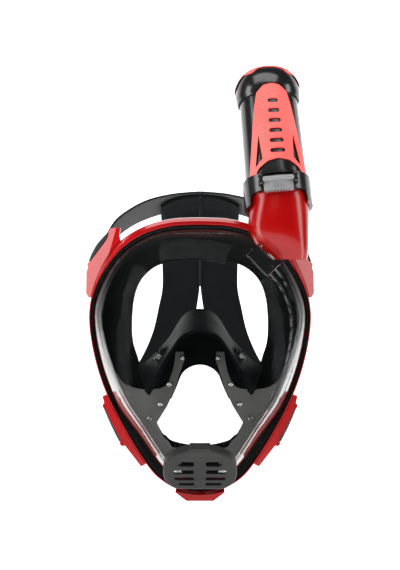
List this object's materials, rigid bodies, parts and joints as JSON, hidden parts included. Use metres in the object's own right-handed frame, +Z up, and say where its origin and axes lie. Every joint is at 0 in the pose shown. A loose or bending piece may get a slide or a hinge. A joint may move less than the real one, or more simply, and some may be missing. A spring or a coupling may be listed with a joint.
{
  "type": "full face snorkel mask",
  "caption": "Full face snorkelling mask with a domed clear visor, silicone face seal, side-mounted detachable dry-top snorkel, chin purge valve and four-point head harness.",
  "frame": {"origin": "middle of the face opening, in the plane of the silicone seal on the centre line", "axes": "+Z up towards the snorkel, +Y from the visor towards the wearer's head, +X towards the snorkel's side (the wearer's left)"},
  "size_m": [0.1976, 0.2267, 0.3716],
  "materials": {
    "clear_plastic": "polished",
    "red_plastic": "satin",
    "black_plastic": "satin",
    "smoke_plastic": "satin",
    "silicone": "satin",
    "webbing": "woven",
    "harness_fabric": "knit",
    "float_plastic": "matte",
    "steel": "brushed"
  },
  "bodies": {
    "mask": {"air_duct": "clear_plastic", "chin_guard": "red_plastic", "duct_gasket": "silicone", "elbow": "red_plastic", "front_frame": "red_plastic", "harness_arm_left": "harness_fabric", "harness_arm_right": "harness_fabric", "harness_back": "harness_fabric", "harness_leg_left": "harness_fabric", "harness_leg_right": "harness_fabric", "inhale_seat_left": "black_plastic", "inhale_seat_right": "black_plastic", "lens": "clear_plastic", "lower_clip_left": "red_plastic", "lower_clip_right": "red_plastic", "lower_web_left": "webbing", "lower_web_right": "webbing", "mouth_plate": "smoke_plastic", "nose_pocket": "silicone", "o_ring": "silicone", "pocket_pegs": "clear_plastic", "purge_cover": "smoke_plastic", "purge_seat": "black_plastic", "rear_frame": "black_plastic", "skirt": "silicone", "spigot": "black_plastic", "upper_lug_left": "red_plastic", "upper_lug_right": "red_plastic", "upper_web_left": "webbing", "upper_web_right": "webbing"},
    "snorkel": {"snorkel_tube": "black_plastic", "tube_divider": "black_plastic", "tube_inlay": "red_plastic", "collar": "black_plastic", "latch_pins": "steel", "cap": "black_plastic", "cap_trim": "red_plastic", "float_guide": "black_plastic", "float_gasket": "silicone"},
    "latch": {"latch_lever": "black_plastic"},
    "float": {"float": "float_plastic"},
    "purge_valve": {"purge_membrane": "silicone"},
    "inhale_valve_left": {"inhale_flap_left": "silicone"},
    "inhale_valve_right": {"inhale_flap_right": "silicone"}
  },
  "joints": [
    {"name": "snorkel_lift", "type": "slide", "parent": "mask", "child": "snorkel", "axis": [-0.077, 0.3081, 0.9482], "range_m": [0, 0.05]},
    {"name": "latch_open", "type": "hinge", "parent": "snorkel", "child": "latch", "pos_m": [0.06498, -0.06772, 0.15318], "axis": [-0.9967, 0, -0.081], "range_deg": [0, 20], "stiffness_Nm_per_rad": 0.05},
    {"name": "float_rise", "type": "slide", "parent": "snorkel", "child": "float", "axis": [-0.077, 0.3081, 0.9482], "range_m": [0, 0.004]},
    {"name": "purge_valve_lift", "type": "slide", "parent": "mask", "child": "purge_valve", "axis": [0, -0.866, -0.5], "range_m": [0, 0.0015], "stiffness_N_per_m": 30},
    {"name": "inhale_valve_left_lift", "type": "slide", "parent": "mask", "child": "inhale_valve_left", "axis": [-0.76, 0, 0.65], "range_m": [0, 0.0015], "stiffness_N_per_m": 20},
    {"name": "inhale_valve_right_lift", "type": "slide", "parent": "mask", "child": "inhale_valve_right", "axis": [0.76, 0, 0.65], "range_m": [0, 0.0015], "stiffness_N_per_m": 20}
  ]
}
